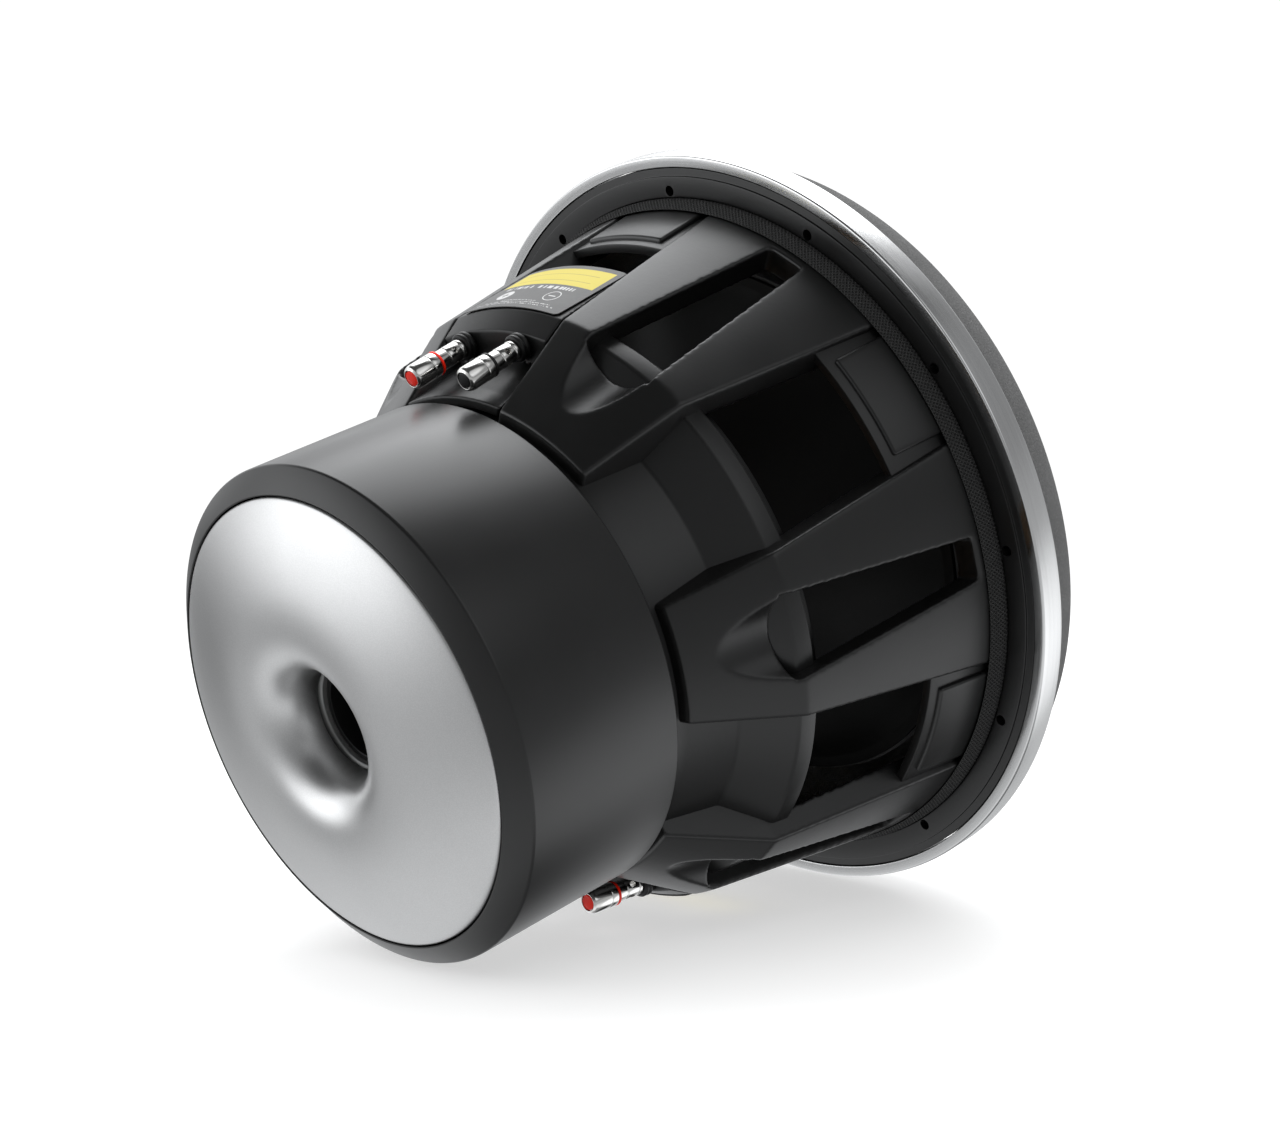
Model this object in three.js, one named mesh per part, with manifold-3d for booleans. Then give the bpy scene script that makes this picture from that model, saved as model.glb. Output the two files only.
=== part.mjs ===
// A 13.5-inch class dual-coil car subwoofer driver, in millimetres.
// The driver's axis is Y: the cone faces -Y and the motor is towards +Y.
// The origin is on that axis, in the plane of the flange's rear face.
// +Z is the side of the first terminals.
// A clock angle is measured about Y from +Z towards +X.
import * as THREE from 'three';
import { mergeVertices } from 'three/addons/utils/BufferGeometryUtils.js';
import Module from 'manifold-3d';

const wasm = await Module();
wasm.setup();

// Driving dimensions
const trimRadius = 188.5;
const trimDepth = 14.5;
const trimInner = 182.9;
const flangeRadius = 182.4;
const flangeThickness = 8;
const flangeLipRadius = 178.5;
const boltCircleRadius = 171.5;
const boltHoleRadius = 2.7;
const boltHoles = 12;
const armCount = 6;
const firstArmClock = 30;
const motorRadius = 118.7;
const motorFront = 165;
const motorRear = 251;
const capRadius = 106.2;
const capRimY = 259.4;
const ventRadius = 24.5;
const coilRadius = 38;
const coilCentreY = 171;
const coilLength = 62;
const rollCentre = 155;
const rollFrontY = -49;
const spiderY = 99.6;
const postOffset = 19;
const postBase = { r: 133.5, y: 124.8 };
const postEnd = { r: 128.1, y: 161.2 };
const gap = 0.3;
const fine = 48;
const coarse = 24;
const drillLength = 30;

const radians = (degrees) => (degrees * Math.PI) / 180;

// Solids for joining and cutting
function solid(geometry) {
  const bare = geometry.index ? geometry.toNonIndexed() : geometry.clone();
  bare.deleteAttribute('normal');
  bare.deleteAttribute('uv');
  const merged = mergeVertices(bare, 1e-3);
  const triVerts = new Uint32Array(merged.index.array);
  const vertProperties = merged.attributes.position.array;
  const made = new wasm.Manifold(new wasm.Mesh({ numProp: 3, vertProperties, triVerts }));
  if (made.volume() > 0) return made;
  for (let i = 0; i < triVerts.length; i += 3) {
    [triVerts[i + 1], triVerts[i + 2]] = [triVerts[i + 2], triVerts[i + 1]];
  }
  return new wasm.Manifold(new wasm.Mesh({ numProp: 3, vertProperties, triVerts }));
}

const turned = (geometry, clock) => geometry.rotateY(radians(clock));

// A disc or dish whose profile, a list of [radius, y], starts and ends on the axis
function disc(profile, segments = coarse) {
  const points = profile.map(([r, y]) => new THREE.Vector2(r, y));
  return solid(new THREE.LatheGeometry(points, segments));
}

// A ring whose profile closes on itself
const ring = (profile, segments = coarse) => disc([...profile, profile[0]], segments);

// A round hole along Y, through the middle of a flange or plate at one clock angle
function drill(radius, y, circle, clock) {
  const hole = new THREE.CylinderGeometry(radius, radius, drillLength, 12);
  return solid(turned(hole.translate(0, y, circle), clock));
}

// An outline of [across, along] points at one clock angle, reaching from one radius to another
function prism(outline, from, to, clock = 0) {
  const shape = new THREE.Shape(outline.map(([x, y]) => new THREE.Vector2(x, y)));
  const geometry = new THREE.ExtrudeGeometry(shape, { depth: to - from, bevelEnabled: false });
  return solid(turned(geometry.translate(0, 0, from), clock));
}

// A turned piece about a line; its profile is [radius, distance along the line]
function turnedOn(origin, direction, profile, segments) {
  const points = profile.map(([r, y]) => new THREE.Vector2(r, y));
  const geometry = new THREE.LatheGeometry(points, segments);
  const turn = new THREE.Quaternion().setFromUnitVectors(new THREE.Vector3(0, 1, 0), direction);
  return solid(geometry.applyQuaternion(turn).translate(origin.x, origin.y, origin.z));
}

const mirroredWidths = (widths) => [
  ...widths.map(([x, y]) => [x, y]),
  ...widths.map(([x, y]) => [-x, y]).reverse(),
];

const clocks = (count, first) => Array.from({ length: count }, (_, i) => first + (i * 360) / count);

// Screws that hold the basket on the top plate
const screwCircle = 84;
const screwRadius = 2.6;
const screwHeadRadius = 5;
const screwTop = 152;
const screwSeat = 156.7;
const screwEnd = 174;

// Basket: flange, skirt, spider bowl and six arms, cast in one piece
const armEdge = [[27.5, 157.5], [38.3, 113.5], [53, 9], [53, -1]];
const armSlot = [[19.6, 117], [19.4, 113.5], [10, 12]];
const armSection = [
  [118.3, 157.5], [147.5, 113.5], [164.2, 9], [164.2, -1],
  [151, -1], [151, 9], [137.5, 101], [123, 107], [105, 150], [105, 157.5],
];
const bowlSection = [
  [111, 160], [113, 153], [120.2, 128.4], [140.3, 110.5], [142, 101],
  [124, 101], [123, 107], [105, 134], [98, 157], [62, 157], [62, 162.9], [111, 162.9],
];
const grooveRadius = 168.3;
const grooveFloor = -0.6;
const skirtSection = [
  [flangeLipRadius, 0], [grooveRadius, 0], [grooveRadius, grooveFloor], [161.6, grooveFloor],
  [161.6, 9], [156.6, 40], [152.4, 40], [153.5, 8],
  [153.5, -flangeThickness], [flangeRadius, -flangeThickness], [flangeRadius, -1.2], [flangeLipRadius, -1.2],
];
const skirtPanel = [[163.8, -1], [163.8, 9], [159.4, 35], [155, 35], [155, -1]];
const panelHalfWidth = 25.3;
const scoopTip = { r: 126.5, y: 146.2 };
const scoopRadius = 22;
const scoopTilt = 13.6;
const scoopLength = 60;

function armPrism(clock, grow = 0) {
  return prism(mirroredWidths(armEdge.map(([x, y]) => [x + grow, y])), 80, 176, clock);
}

const armSlotPrism = (from, clock) => prism(mirroredWidths(armSlot), from, 200, clock);

// A leaning cylinder whose lowest line starts at the scoop's tip and sinks into the arm
function scoop(clock) {
  const aim = new THREE.Vector3(0, -Math.cos(radians(scoopTilt)), Math.sin(radians(scoopTilt)));
  const out = new THREE.Vector3(0, aim.z, -aim.y);
  const profile = [[0, -20], [scoopRadius, -20], [scoopRadius, scoopLength], [0, scoopLength]];
  const start = new THREE.Vector3(0, scoopTip.y, scoopTip.r).addScaledVector(out, scoopRadius);
  const cylinder = turnedOn(start, aim, profile, 40);
  const keep = prism([[-40, 104], [40, 104], [40, 170], [-40, 170]], 100, 200);
  return cylinder.intersect(keep).rotate([0, clock, 0]);
}

function makeBasket() {
  const armRing = ring(armSection, fine);
  const arms = clocks(armCount, firstArmClock).map((clock) => {
    const whole = armRing.intersect(armPrism(clock));
    return whole.subtract(armSlotPrism(120, clock)).subtract(scoop(clock));
  });
  const panelRing = ring(skirtPanel, fine);
  const panels = clocks(armCount, 0).map((clock) => {
    const w = panelHalfWidth;
    return panelRing.intersect(prism([[-w, -2], [w, -2], [w, 36], [-w, 36]], 120, 200, clock));
  });
  let basket = ring(skirtSection, fine).add(ring(bowlSection, fine));
  for (const piece of [...arms, ...panels]) basket = basket.add(piece);
  for (const clock of clocks(armCount, firstArmClock)) {
    basket = basket.subtract(armSlotPrism(150, clock));
  }
  for (const clock of clocks(boltHoles, 0)) {
    basket = basket.subtract(drill(boltHoleRadius, 0, boltCircleRadius, clock));
  }
  for (const clock of clocks(armCount, firstArmClock)) {
    basket = basket.subtract(drill(screwRadius + gap, screwSeat, screwCircle, clock));
  }
  return basket;
}

function makeBasketScrew(clock) {
  const profile = [
    [0, screwTop], [screwHeadRadius, screwTop], [screwHeadRadius, screwSeat],
    [screwRadius, screwSeat], [screwRadius, screwEnd], [0, screwEnd],
  ];
  const points = profile.map(([r, y]) => new THREE.Vector2(r, y));
  const geometry = new THREE.LatheGeometry(points, 12).translate(0, 0, screwCircle);
  return solid(turned(geometry, clock));
}

// Terminal panels: one at clock 0, one at clock 180, between the arms
const panelSection = [
  [153.4, 66], [147, 113.4], [140.2, 124.5], [126.5, 124.5], [120.5, 147], [119, 156.5],
  [114.2, 156.5], [114.2, 153.4], [121.4, 129], [141.4, 111.4], [143.2, 100], [149.6, 66],
];
const labelSection = [[153.6, 67.2], [147.65, 112.8], [148.05, 112.8], [154, 67.2]];

function betweenArms(piece, clock, clearance) {
  const near = prism([[-48, 40], [48, 40], [48, 170], [-48, 170]], 90, 176, clock);
  let cut = piece.intersect(near);
  for (const side of [-1, 1]) cut = cut.subtract(armPrism(clock + side * firstArmClock, clearance));
  return cut;
}

function postDirection() {
  return new THREE.Vector3(0, postEnd.y - postBase.y, postEnd.r - postBase.r).normalize();
}

// A turned piece on one post's line; its profile is [radius, distance from the panel's wall]
function onPost(side, clock, profile, segments = 14) {
  const origin = new THREE.Vector3(side * postOffset, postBase.y, postBase.r);
  return turnedOn(origin, postDirection(), profile, segments).rotate([0, clock, 0]);
}

const postLength = Math.hypot(postEnd.r - postBase.r, postEnd.y - postBase.y);
const postBodyRadius = 4.9;
const capOuterRadius = 5.9;
const capStart = postLength - 16.5;
const ringWidth = 1.6;
const bushingRadius = 6.6;
const bushingLength = 5;

function makeTerminalPanel(clock) {
  let panel = betweenArms(ring(panelSection, fine), clock, 0.5);
  for (const side of [-1, 1]) {
    const well = [[0, -2.7], [3.9, -2.7], [3.9, 8], [0, 8]];
    const seat = [[0, 0], [7.4, 0], [7.4, 30], [0, 30]];
    panel = panel.subtract(onPost(side, clock, well)).subtract(onPost(side, clock, seat, 18));
  }
  return panel;
}

const bushingProfile = [
  [3.9 - gap, gap], [bushingRadius, gap], [bushingRadius, bushingLength - 1],
  [bushingRadius - 1, bushingLength], [3.9 - gap, bushingLength],
];
const postProfile = [
  [0, -2.4], [3, -2.4], [3, bushingLength + gap], [postBodyRadius, bushingLength + gap],
  [postBodyRadius, postLength - 5.5], [0, postLength - 5.5],
];
const capBore = postBodyRadius + gap;
const pushCapProfile = [
  [0, postLength - 1.3], [capBore, postLength - 1.3], [capBore, capStart + ringWidth],
  [capOuterRadius, capStart + ringWidth], [capOuterRadius, postLength - 2],
  [capOuterRadius - 1.6, postLength], [4, postLength], [4, postLength - 1], [0, postLength - 1],
];
const capRingProfile = [
  [capBore, capStart], [capOuterRadius + 0.1, capStart],
  [capOuterRadius + 0.1, capStart + ringWidth - gap], [capBore, capStart + ringWidth - gap],
];
const capDiscProfile = [
  [0, postLength - 1 + gap], [4 - gap, postLength - 1 + gap],
  [4 - gap, postLength - 0.1], [0, postLength - 0.1],
];

function makeRingOnPost(side, clock, profile) {
  return onPost(side, clock, [...profile, profile[0]]);
}

// The post has two cross holes that take the wire
function makePost(side, clock) {
  const hole = new THREE.CylinderGeometry(1.9, 1.9, 20, 10);
  const at = bushingLength + 5.5;
  const direction = postDirection();
  const centre = new THREE.Vector3(side * postOffset, postBase.y, postBase.r).addScaledVector(direction, at);
  const across = hole.rotateX(Math.PI / 2).translate(centre.x, centre.y, centre.z);
  return onPost(side, clock, postProfile).subtract(solid(across).rotate([0, clock, 0]));
}

// Motor
const plateInner = coilRadius + 5.4;
const poleRadius = coilRadius - 1.6;
const topPlateProfile = [[plateInner, 163.2], [110.5, 163.2], [114.8, 166], [114.8, 178], [plateInner, 178]];
const magnetProfile = (y) => [[58, y], [112, y], [112, y + 17.2], [58, y + 17.2]];
const magnetStart = 178.3;
const magnetPitch = 17.5;
const magnetCount = 3;
const yokeFront = magnetStart + magnetCount * magnetPitch;
const yokeProfile = [
  [ventRadius, 160], [poleRadius, 160], [poleRadius, 240], [47, 240], [47, yokeFront],
  [104, yokeFront], [104, 249.5], [ventRadius + 4, 249.5], [ventRadius, 247],
];
const sleeveProfile = [[poleRadius + gap, 161], [37.4, 161], [37.4, 182], [poleRadius + gap, 182]];
const ventTubeProfile = [[21.4, 157], [24.2, 157], [24.2, 245], [21.4, 245]];
const bootProfile = [
  [motorRadius, motorFront], [motorRadius, motorRear], [capRadius + 0.7, capRimY],
  [capRadius + 0.7, 250], [115.4, 250], [115.4, motorFront],
];

// The rear cap: a shallow dome that rolls over into the vent's mouth
const capOuter = [
  [capRadius, capRimY - 0.4], [88, 267.2], [66, 272.8],
  [48, 274.4], [38, 272.5], [30, 267], [25.8, 258], [ventRadius, 249.8],
];
const capWall = 2.4;

function rearCapProfile() {
  const inner = [
    [ventRadius + capWall, 250.2], [28.4, 257], [33, 265.6], [40, 270], [48, 271.8],
    [66, 270.2], [88, 264.5], [104, 258], [104, 250.4], [capRadius, 250.4],
  ];
  return [...capOuter, ...inner];
}

// Moving parts
const formerProfile = [[coilRadius, 62], [coilRadius + 0.8, 62], [coilRadius + 0.8, 203], [coilRadius, 203]];
const coilProfile = (r) => [
  [r, coilCentreY - coilLength / 2], [r + 1.2, coilCentreY - coilLength / 2],
  [r + 1.2, coilCentreY + coilLength / 2], [r, coilCentreY + coilLength / 2],
];
const coneEdge = 131;
const coneProfile = [
  [coneEdge, -9], [coneEdge, -6.8], [125.5, -6.6], [119, -3.2], [42.5, 70], [42.5, 76],
  [39.4, 76], [39.4, 69], [118, -5.4], [124.4, -9],
];
const dishEdge = 125.6;
const dishDepth = 27;

function dishProfile() {
  const steps = 8;
  const y = (r) => -11.4 + dishDepth * (1 - (r / dishEdge) ** 2);
  const front = Array.from({ length: steps + 1 }, (_, i) => (dishEdge * i) / steps);
  const face = front.map((r) => [r, y(r)]);
  const back = front.slice(0, -1).reverse().map((r) => [r, y(r) + 1.6]);
  return [...face, [dishEdge, -9.8], ...back];
}

function surroundProfile() {
  const half = 25.6;
  const wall = 3;
  const shoulder = -20;
  const steps = 7;
  const arc = (inset) => Array.from({ length: steps + 1 }, (_, i) => {
    const a = (Math.PI * i) / steps;
    const rise = rollFrontY - shoulder + inset;
    return [rollCentre + (half - inset) * Math.cos(a), shoulder + rise * Math.sin(a)];
  });
  return [
    [rollCentre + half, -8.4], ...arc(0), [rollCentre - half, -11.6], [126.2, -11.6], [126.2, -9.3],
    [132.4, -9.3], ...arc(wall).reverse(), [rollCentre + half - wall, -10.6], [168, -10.6], [168, -8.4],
  ];
}

const spiderProfile = [
  [39.2, spiderY], [44, spiderY], [46, spiderY - 3], [60, spiderY - 3], [62, spiderY + 1], [126, spiderY + 1],
  [126, spiderY + 1.1], [134.4, spiderY + 1.1], [134.4, spiderY - 0.7], [127, spiderY - 0.7],
  [125, spiderY - 1], [63, spiderY - 1], [61, spiderY - 5],
  [45, spiderY - 5], [43, spiderY - 2], [39.2, spiderY - 2],
];
const spiderRingProfile = [[128, 93.6], [135.4, 93.6], [135.4, spiderY - 1], [128, spiderY - 1]];

// Tinsel leads, held between the former and the terminal panels in front of the spider
function makeLead(side, clock) {
  const route = new THREE.CatmullRomCurve3([
    [8, 90, 40.6], [10, 85, 52], [13, 84, 70], [16, 86, 92], [18, 89, 112], [19, 90, 128], [19, 90, 141.6],
  ].map(([x, y, z]) => new THREE.Vector3(side * x, y, z)));
  const section = new THREE.Shape().absellipse(0, 0, 1.5, 1.5, 0, 2 * Math.PI);
  const settings = { steps: 14, curveSegments: 4, extrudePath: route, bevelEnabled: false };
  return solid(turned(new THREE.ExtrudeGeometry(section, settings), clock));
}

const trimProfile = [
  [trimInner, -0.6], [trimRadius - 0.6, -0.6], [trimRadius, -1.2], [trimRadius, -trimDepth + 1],
  [trimRadius - 1, -trimDepth], [trimInner, -trimDepth],
];
const gasketProfile = [
  [164.6, grooveFloor + gap], [grooveRadius - gap, grooveFloor + gap],
  [grooveRadius - gap, 2.6], [164.6, 8.6],
];

// Materials
const finish = (color, roughness, metalness = 0) => ({ color, roughness, metalness });
const finishes = {
  castBlack: finish(0x1b1c1d, 0.45, 0.2),
  machinedSilver: finish(0xb9bcc0, 0.3, 1),
  satinSilver: finish(0xc3c5c8, 0.35, 1),
  bootBlack: finish(0x222324, 0.4, 0.1),
  foamGrey: finish(0x6d6f70, 0.9),
  wovenBlack: finish(0x303132, 0.8),
  mouldedBlack: finish(0x151617, 0.5),
  labelGrey: finish(0x5f6163, 0.5),
  nickel: finish(0xd8d9da, 0.12, 1),
  signalRed: finish(0xd8281c, 0.35),
  signalBlack: finish(0x0c0c0d, 0.35),
  coneBlack: finish(0x1a1a1c, 0.4),
  polyimide: finish(0x8a5a22, 0.4),
  copper: finish(0xb5643a, 0.35, 1),
  spiderCloth: finish(0x8c6f3e, 0.9),
  steel: finish(0x8f9296, 0.4, 1),
  ferrite: finish(0x2c2c2e, 0.7),
  tinsel: finish(0xa9875a, 0.5, 0.6),
};

const driver = new THREE.Group();
driver.name = 'car_subwoofer_driver';

function addPiece(name, made, finishName) {
  const mesh = made.getMesh();
  const geometry = new THREE.BufferGeometry();
  geometry.setAttribute('position', new THREE.BufferAttribute(new Float32Array(mesh.vertProperties), 3));
  geometry.setIndex(new THREE.BufferAttribute(new Uint32Array(mesh.triVerts), 1));
  const piece = new THREE.Mesh(geometry, new THREE.MeshStandardMaterial(finishes[finishName]));
  piece.name = name;
  driver.add(piece);
}

addPiece('basket', makeBasket(), 'castBlack');
addPiece('trim_ring', ring(trimProfile, fine), 'machinedSilver');
addPiece('gasket_band', ring(gasketProfile, fine), 'wovenBlack');
addPiece('surround', ring(surroundProfile(), fine), 'foamGrey');
addPiece('cone', ring(coneProfile), 'coneBlack');
addPiece('cone_dish', disc(dishProfile()), 'coneBlack');
addPiece('former', ring(formerProfile), 'polyimide');
addPiece('voice_coil_inner', ring(coilProfile(coilRadius + 1.1)), 'copper');
addPiece('voice_coil_outer', ring(coilProfile(coilRadius + 2.6)), 'copper');
addPiece('spider', ring(spiderProfile), 'spiderCloth');
addPiece('spider_ring', ring(spiderRingProfile), 'mouldedBlack');

let topPlate = ring(topPlateProfile);
for (const clock of clocks(armCount, firstArmClock)) {
  topPlate = topPlate.subtract(drill(screwRadius + gap, 170, screwCircle, clock));
}
addPiece('top_plate', topPlate, 'steel');
for (let i = 0; i < magnetCount; i += 1) {
  addPiece(`magnet_${i + 1}`, ring(magnetProfile(magnetStart + i * magnetPitch)), 'ferrite');
}
addPiece('pole_yoke', ring(yokeProfile), 'steel');
addPiece('pole_sleeve', ring(sleeveProfile), 'copper');
addPiece('vent_tube', ring(ventTubeProfile), 'mouldedBlack');
addPiece('motor_boot', ring(bootProfile, fine), 'bootBlack');
addPiece('rear_cap', ring(rearCapProfile(), fine), 'satinSilver');

clocks(armCount, firstArmClock).forEach((clock, i) => {
  addPiece(`basket_screw_${i + 1}`, makeBasketScrew(clock), 'steel');
});

for (const [place, clock] of [['top', 0], ['bottom', 180]]) {
  addPiece(`terminal_panel_${place}`, makeTerminalPanel(clock), 'mouldedBlack');
  addPiece(`label_${place}`, betweenArms(ring(labelSection, fine), clock, 3.2), 'labelGrey');
  for (const [pole, side, colour] of [['plus', 1, 'signalRed'], ['minus', -1, 'signalBlack']]) {
    const tag = `${place}_${pole}`;
    addPiece(`bushing_${tag}`, makeRingOnPost(side, clock, bushingProfile), 'mouldedBlack');
    addPiece(`post_${tag}`, makePost(side, clock), 'nickel');
    addPiece(`push_cap_${tag}`, onPost(side, clock, pushCapProfile), 'nickel');
    addPiece(`cap_ring_${tag}`, makeRingOnPost(side, clock, capRingProfile), colour);
    addPiece(`cap_disc_${tag}`, onPost(side, clock, capDiscProfile), colour);
    addPiece(`lead_${tag}`, makeLead(side, clock), 'tinsel');
  }
}

export default driver;
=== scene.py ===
import math

import bmesh
import bpy
import numpy as np
from mathutils import Matrix, Vector


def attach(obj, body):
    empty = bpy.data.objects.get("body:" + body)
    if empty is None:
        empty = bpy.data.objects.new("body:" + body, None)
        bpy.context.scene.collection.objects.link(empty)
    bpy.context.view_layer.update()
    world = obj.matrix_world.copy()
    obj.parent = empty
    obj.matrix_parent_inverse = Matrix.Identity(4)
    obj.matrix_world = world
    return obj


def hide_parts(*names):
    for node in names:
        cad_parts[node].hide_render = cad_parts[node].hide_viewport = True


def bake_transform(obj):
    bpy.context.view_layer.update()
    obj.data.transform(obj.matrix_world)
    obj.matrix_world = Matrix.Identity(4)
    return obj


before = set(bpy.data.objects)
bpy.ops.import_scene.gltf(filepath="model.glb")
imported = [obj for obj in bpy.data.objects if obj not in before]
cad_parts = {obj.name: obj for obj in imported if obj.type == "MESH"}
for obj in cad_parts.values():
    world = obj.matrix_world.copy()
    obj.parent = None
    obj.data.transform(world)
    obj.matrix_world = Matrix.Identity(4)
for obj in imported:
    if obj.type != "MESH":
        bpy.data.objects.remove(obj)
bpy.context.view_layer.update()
print("frame loaded")

mm = 0.001
axis = (0, 1, 0)  # the driver's axis: the cone faces -Y, the motor is towards +Y


def addCamera():
    settings = {
        "place": (-1.02552, 0.92917, 0.39895),
        "turn": (73.3213, 12.0673, -133.5927),
        "lens": 81.72,
    }
    data = bpy.data.cameras.new("camera")
    data.lens = settings["lens"]
    data.sensor_width = 36
    data.clip_end = 50
    camera = bpy.data.objects.new("camera", data)
    camera.location = settings["place"]
    camera.rotation_euler = [math.radians(a) for a in settings["turn"]]
    bpy.context.scene.collection.objects.link(camera)
    bpy.context.scene.camera = camera


addCamera()


class Wire:  # one socket of a shader tree, with arithmetic
    def __init__(self, look, socket):
        self.look = look
        self.socket = socket

    def math(self, operation, *others):
        return self.look.node("ShaderNodeMath", {"operation": operation}, [self, *others])

    def swapped(self, operation, other):
        return self.look.node("ShaderNodeMath", {"operation": operation}, [other, self])

    def __add__(self, other):
        return self.math("ADD", other)

    def __radd__(self, other):
        return self.math("ADD", other)

    def __sub__(self, other):
        return self.math("SUBTRACT", other)

    def __rsub__(self, other):
        return self.swapped("SUBTRACT", other)

    def __mul__(self, other):
        return self.math("MULTIPLY", other)

    def step(self, low, high):  # 0 below low, 1 above high, smooth between
        settings = {"interpolation_type": "SMOOTHSTEP"}
        inputs = {"Value": self, "From Min": low, "From Max": high}
        return self.look.node("ShaderNodeMapRange", settings, inputs)

    def inside(self, low, high, soft=0.0002):
        return self.step(low - soft, low + soft) * (1 - self.step(high - soft, high + soft))


class Look:  # one material, or the sky
    def __init__(self, name, sky=None, **fixed):
        self.material = sky or bpy.data.materials.new(name)
        self.material.use_nodes = True
        self.tree = self.material.node_tree
        self.shader = self.tree.nodes["Background" if sky else "Principled BSDF"]
        for socket, value in fixed.items():
            self.shader.inputs[socket.replace("_", " ")].default_value = value

    def node(self, kind, settings=None, inputs=None, output=0):
        made = self.tree.nodes.new(kind)
        for key, value in (settings or {}).items():
            if key == "stops":
                while len(made.color_ramp.elements) < len(value):
                    made.color_ramp.elements.new(0.5)
                for stop, (at, colour) in zip(made.color_ramp.elements, value):
                    stop.position, stop.color = at, colour
            else:
                setattr(made, key, value)
        pairs = inputs.items() if isinstance(inputs, dict) else enumerate(inputs or [])
        for key, value in pairs:
            self.feed(made.inputs[key], value)
        return Wire(self, made.outputs[output])

    def feed(self, socket, value):
        if isinstance(value, Wire):
            self.tree.links.new(value.socket, socket)
        else:
            socket.default_value = value

    def link(self, **sockets):
        for name, value in sockets.items():
            self.feed(self.shader.inputs[name.replace("_", " ")], value)
        return self

    def place(self):
        return self.node("ShaderNodeTexCoord", output="Object")

    def noise(self, vector, scale, detail=3.0, roughness=0.55):
        inputs = {"Vector": vector, "Scale": scale, "Detail": detail, "Roughness": roughness}
        return self.node("ShaderNodeTexNoise", None, inputs)

    def vector(self, x, y, z):
        return self.node("ShaderNodeCombineXYZ", None, [x, y, z])

    def scaled(self, vector, by):
        return self.node("ShaderNodeVectorMath", {"operation": "MULTIPLY"}, [vector, by])

    def parts(self, vector):
        split = self.node("ShaderNodeSeparateXYZ", None, [vector])
        return [Wire(self, split.socket.node.outputs[i]) for i in range(3)]

    def polar(self):  # radius, clock angle and place along the driver's axis
        x, y, z = self.parts(self.place())
        radius = (x * x + z * z).math("SQRT")
        return radius, x.math("ARCTAN2", z), y

    def mix(self, factor, a, b):
        made = self.tree.nodes.new("ShaderNodeMix")
        made.data_type = "RGBA"
        self.feed(made.inputs["Factor"], factor)
        self.feed(made.inputs["A"], a)
        self.feed(made.inputs["B"], b)
        return Wire(self, made.outputs["Result"])

    def bump(self, height, distance, strength=1.0):
        inputs = {"Height": height, "Distance": distance, "Strength": strength}
        return self.node("ShaderNodeBump", None, inputs)


def grey(value):
    return (value, value, value, 1)


def castBlackLook():
    tone = {"dark": 0.0024, "light": 0.0042, "roughness": (0.29, 0.38)}
    look = Look("castBlack", Specular_IOR_Level=0.55)
    place = look.place()
    cloud = look.noise(place, 35, 4)
    grain = look.noise(place, 1500, 2)
    peel = look.noise(place, 420, 2)
    low, high = tone["roughness"]
    height = grain * 0.5 + peel
    return look.link(
        Base_Color=look.mix(cloud, grey(tone["dark"]), grey(tone["light"])),
        Roughness=low + cloud * (high - low) + (grain - 0.5) * 0.06,
        Normal=look.bump(height, 0.00005, 0.55),
    )


def brushedLook(name, tone, roughness, lines, distance):  # metal turned or brushed round the axis
    look = Look(name, Metallic=1.0)
    radius, clock, along = look.polar()
    fine = look.noise(look.vector(clock * 2.2, along * lines, radius * lines), 1.0, 3)
    streak = look.noise(look.vector(clock * 0.9, along * (lines / 9), radius * (lines / 9)), 1.0, 2)
    cloud = look.noise(look.place(), 22, 3)
    return look.link(
        Base_Color=look.mix(streak, grey(tone * 0.86), grey(tone * 1.06)),
        Roughness=roughness + (fine - 0.5) * 0.16 + (cloud - 0.5) * 0.08,
        Normal=look.bump(fine + streak * 0.4, distance, 0.5),
    )


def satinSilverLook():
    look = Look("satinSilver", Metallic=1.0)
    place = look.place()
    grain = look.noise(place, 2600, 1)
    flake = look.node("ShaderNodeTexVoronoi", {"feature": "F1"}, {"Vector": place, "Scale": 1700})
    cloud = look.noise(place, 18, 3)
    sparkle = flake.step(0.1, 0.7)
    return look.link(
        Base_Color=look.mix(sparkle * 0.35 + cloud * 0.3, grey(0.66), grey(0.52)),
        Roughness=0.36 + (grain - 0.5) * 0.16 + (cloud - 0.5) * 0.05,
        Normal=look.bump(grain + sparkle * 0.4, 0.00006, 0.35),
    )


def bootLook():
    look = Look("bootBlack", Specular_IOR_Level=0.5)
    place = look.place()
    cloud = look.noise(place, 26, 4)
    grain = look.noise(place, 1900, 2)
    smear = look.noise(look.scaled(place, (60, 9, 60)), 1.0, 3)
    return look.link(
        Base_Color=look.mix(cloud, grey(0.0045), grey(0.007)),
        Roughness=0.29 + cloud * 0.06 + (smear - 0.5) * 0.06,
        Normal=look.bump(grain, 0.00003, 0.4),
    )


def foamLook():
    look = Look("foamGrey", Specular_IOR_Level=0.25)
    place = look.place()
    cell = look.node("ShaderNodeTexVoronoi", {"feature": "F1"}, {"Vector": place, "Scale": 1300})
    grain = look.noise(place, 2100, 3)
    cloud = look.noise(place, 30, 4)
    tone = cell * 0.35 + grain * 0.45 + cloud * 0.25
    return look.link(
        Base_Color=look.mix(tone, grey(0.035), grey(0.2)),
        Roughness=0.86 + (grain - 0.5) * 0.15,
        Normal=look.bump(cell + grain * 0.6, 0.00025, 0.6),
    )


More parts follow.
